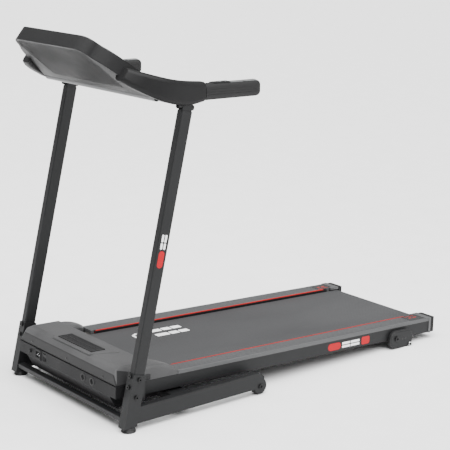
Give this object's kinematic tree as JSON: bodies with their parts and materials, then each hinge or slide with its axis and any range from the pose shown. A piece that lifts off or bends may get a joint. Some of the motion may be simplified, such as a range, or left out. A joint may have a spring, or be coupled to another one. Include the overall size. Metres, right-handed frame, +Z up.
{
  "type": "folding treadmill",
  "caption": "Folding motorised treadmill: a running belt on a deck that hinges up between leaning uprights, with a sloping console, side handles and transport wheels.",
  "frame": {"origin": "on the floor, under the middle of the bounding box", "axes": "+Z up; +Y from the console towards the rear end of the deck; the user faces -Y, so +X is the user's left"},
  "size_m": [0.659, 1.385, 1.1398],
  "materials": {
    "belt_fabric": "fine textured",
    "board_wood": "pressed board, waxed",
    "button_green": "smooth",
    "button_grey": "smooth",
    "button_red": "smooth",
    "circuit_board": "solder mask",
    "cover_plastic": "fine grained moulding",
    "display": "dark window",
    "face_plastic": "smooth",
    "frame_paint": "satin, charcoal black powder coat",
    "grip_rubber": "soft matt",
    "hood_plastic": "fine grained moulding, dark grey",
    "motor_paint": "satin",
    "ribbed_plastic": "ribbed",
    "sensor_steel": "brushed",
    "silver_tube": "silver paint",
    "strip_red": "satin",
    "wheel_rubber": "matt",
    "zinc_steel": "bright zinc plate"
  },
  "bodies": {
    "base": {"base_rail_left": "frame_paint", "base_rail_right": "frame_paint", "front_crossbar": "frame_paint", "mid_crossbar": "frame_paint", "upright_bracket_left": "frame_paint", "upright_bracket_right": "frame_paint", "upright_left": "frame_paint", "upright_right": "frame_paint", "frame_bolts": "frame_paint", "base_feet": "wheel_rubber", "console_posts": "frame_paint", "console_crossbar": "silver_tube", "console_shell": "cover_plastic", "console_back": "cover_plastic", "console_face": "face_plastic", "console_display": "display", "console_board": "circuit_board", "arm_cover_left": "cover_plastic", "arm_cover_right": "cover_plastic", "handle_left": "grip_rubber", "handle_right": "grip_rubber", "pulse_sensors": "sensor_steel"},
    "deck": {"deck_rail_left": "frame_paint", "deck_rail_right": "frame_paint", "deck_crossbars": "frame_paint", "running_board": "board_wood", "running_belt": "belt_fabric", "foot_rail_left": "ribbed_plastic", "foot_rail_right": "ribbed_plastic", "trim_strips": "strip_red", "end_caps": "cover_plastic", "drive_motor": "motor_paint", "motor_controller": "circuit_board", "motor_tray": "cover_plastic", "motor_hood": "hood_plastic", "vent_grille": "hood_plastic", "power_inlet": "cover_plastic", "roller_shafts": "zinc_steel", "drive_belt": "wheel_rubber", "incline_bolts": "zinc_steel"},
    "transport_wheel_left": {"transport_wheel_left": "wheel_rubber"},
    "transport_wheel_right": {"transport_wheel_right": "wheel_rubber"},
    "strut_cylinder": {"strut_cylinder": "frame_paint"},
    "strut_rod": {"strut_rod": "zinc_steel"},
    "front_roller": {"front_roller": "zinc_steel"},
    "rear_roller": {"rear_roller": "zinc_steel"},
    "motor_pulley": {"motor_pulley": "zinc_steel"},
    "incline_foot_left": {"incline_foot_left": "wheel_rubber"},
    "incline_foot_right": {"incline_foot_right": "wheel_rubber"},
    "pull_pin_left": {"pull_pin_left": "zinc_steel"},
    "pull_pin_right": {"pull_pin_right": "zinc_steel"},
    "start_button": {"start_button": "button_green"},
    "stop_button": {"stop_button": "button_red"},
    "speed_up_button": {"speed_up_button": "button_grey"},
    "speed_down_button": {"speed_down_button": "button_grey"},
    "handle_up_button": {"handle_up_button": "cover_plastic"},
    "handle_down_button": {"handle_down_button": "cover_plastic"},
    "safety_key": {"safety_key": "button_red"},
    "power_switch": {"power_switch": "cover_plastic"},
    "breaker_button": {"breaker_button": "cover_plastic"}
  },
  "joints": [
    {"name": "deck_fold", "type": "hinge", "parent": "base", "child": "deck", "pos_m": [0, -0.5725, 0.11], "axis": [1, 0, 0], "range_deg": [0, 74]},
    {"name": "transport_wheel_left_spin", "type": "hinge", "parent": "base", "child": "transport_wheel_left", "pos_m": [0.3075, -0.1405, 0.027], "axis": [1, 0, 0], "continuous": true},
    {"name": "transport_wheel_right_spin", "type": "hinge", "parent": "base", "child": "transport_wheel_right", "pos_m": [-0.3075, -0.1405, 0.027], "axis": [1, 0, 0], "continuous": true},
    {"name": "strut_pivot", "type": "hinge", "parent": "base", "child": "strut_cylinder", "pos_m": [0, -0.3825, 0.05], "axis": [1, 0, 0], "range_deg": [0, 88.5]},
    {"name": "strut_extend", "type": "slide", "parent": "strut_cylinder", "child": "strut_rod", "axis": [0, 0.9994, -0.0335], "range_m": [0, 0.20893]},
    {"name": "front_roller_spin", "type": "hinge", "parent": "deck", "child": "front_roller", "pos_m": [0, -0.51281, 0.10212], "axis": [1, 0, 0], "continuous": true},
    {"name": "rear_roller_spin", "type": "hinge", "parent": "deck", "child": "rear_roller", "pos_m": [0, 0.65714, 0.04571], "axis": [1, 0, 0], "continuous": true},
    {"name": "motor_pulley_spin", "type": "hinge", "parent": "deck", "child": "motor_pulley", "pos_m": [0, -0.586, 0.12066], "axis": [1, 0, 0], "continuous": true},
    {"name": "incline_foot_left_turn", "type": "hinge", "parent": "deck", "child": "incline_foot_left", "pos_m": [0.267, 0.49254, 0.03713], "axis": [1, 0, 0], "range_deg": [-40, 0]},
    {"name": "incline_foot_right_turn", "type": "hinge", "parent": "deck", "child": "incline_foot_right", "pos_m": [-0.267, 0.49254, 0.03713], "axis": [1, 0, 0], "range_deg": [-40, 0]},
    {"name": "pull_pin_left_pull", "type": "slide", "parent": "incline_foot_left", "child": "pull_pin_left", "axis": [1, 0, 0], "range_m": [0, 0.012], "stiffness_N_per_m": 150},
    {"name": "pull_pin_right_pull", "type": "slide", "parent": "incline_foot_right", "child": "pull_pin_right", "axis": [-1, 0, 0], "range_m": [0, 0.012], "stiffness_N_per_m": 150},
    {"name": "start_press", "type": "slide", "parent": "base", "child": "start_button", "axis": [0, -0.6374, -0.7705], "range_m": [0, 0.0015], "stiffness_N_per_m": 600},
    {"name": "stop_press", "type": "slide", "parent": "base", "child": "stop_button", "axis": [0, -0.6374, -0.7705], "range_m": [0, 0.0015], "stiffness_N_per_m": 600},
    {"name": "speed_up_press", "type": "slide", "parent": "base", "child": "speed_up_button", "axis": [0, -0.6374, -0.7705], "range_m": [0, 0.0015], "stiffness_N_per_m": 600},
    {"name": "speed_down_press", "type": "slide", "parent": "base", "child": "speed_down_button", "axis": [0, -0.6374, -0.7705], "range_m": [0, 0.0015], "stiffness_N_per_m": 600},
    {"name": "handle_up_press", "type": "slide", "parent": "base", "child": "handle_up_button", "axis": [0, -0.0244, -0.9997], "range_m": [0, 0.0015], "stiffness_N_per_m": 600},
    {"name": "handle_down_press", "type": "slide", "parent": "base", "child": "handle_down_button", "axis": [0, -0.0244, -0.9997], "range_m": [0, 0.0015], "stiffness_N_per_m": 600},
    {"name": "safety_key_pull", "type": "slide", "parent": "base", "child": "safety_key", "axis": [0, 0.6374, 0.7705], "range_m": [0, 0.05]},
    {"name": "power_switch_rock", "type": "hinge", "parent": "deck", "child": "power_switch", "pos_m": [-0.123, -0.64661, 0.10957], "axis": [1, 0, 0], "range_deg": [0, 8]},
    {"name": "breaker_press", "type": "slide", "parent": "deck", "child": "breaker_button", "axis": [0, 0.9988, -0.0482], "range_m": [0, 0.002], "stiffness_N_per_m": 600}
  ],
  "couplings": [
    {"joint": "strut_pivot", "follows": "deck_fold", "ratio": 1.1893},
    {"joint": "strut_extend", "follows": "deck_fold", "m_per_rad": 0.16138},
    {"joint": "rear_roller_spin", "follows": "front_roller_spin", "ratio": 1},
    {"joint": "motor_pulley_spin", "follows": "front_roller_spin", "ratio": 2}
  ]
}
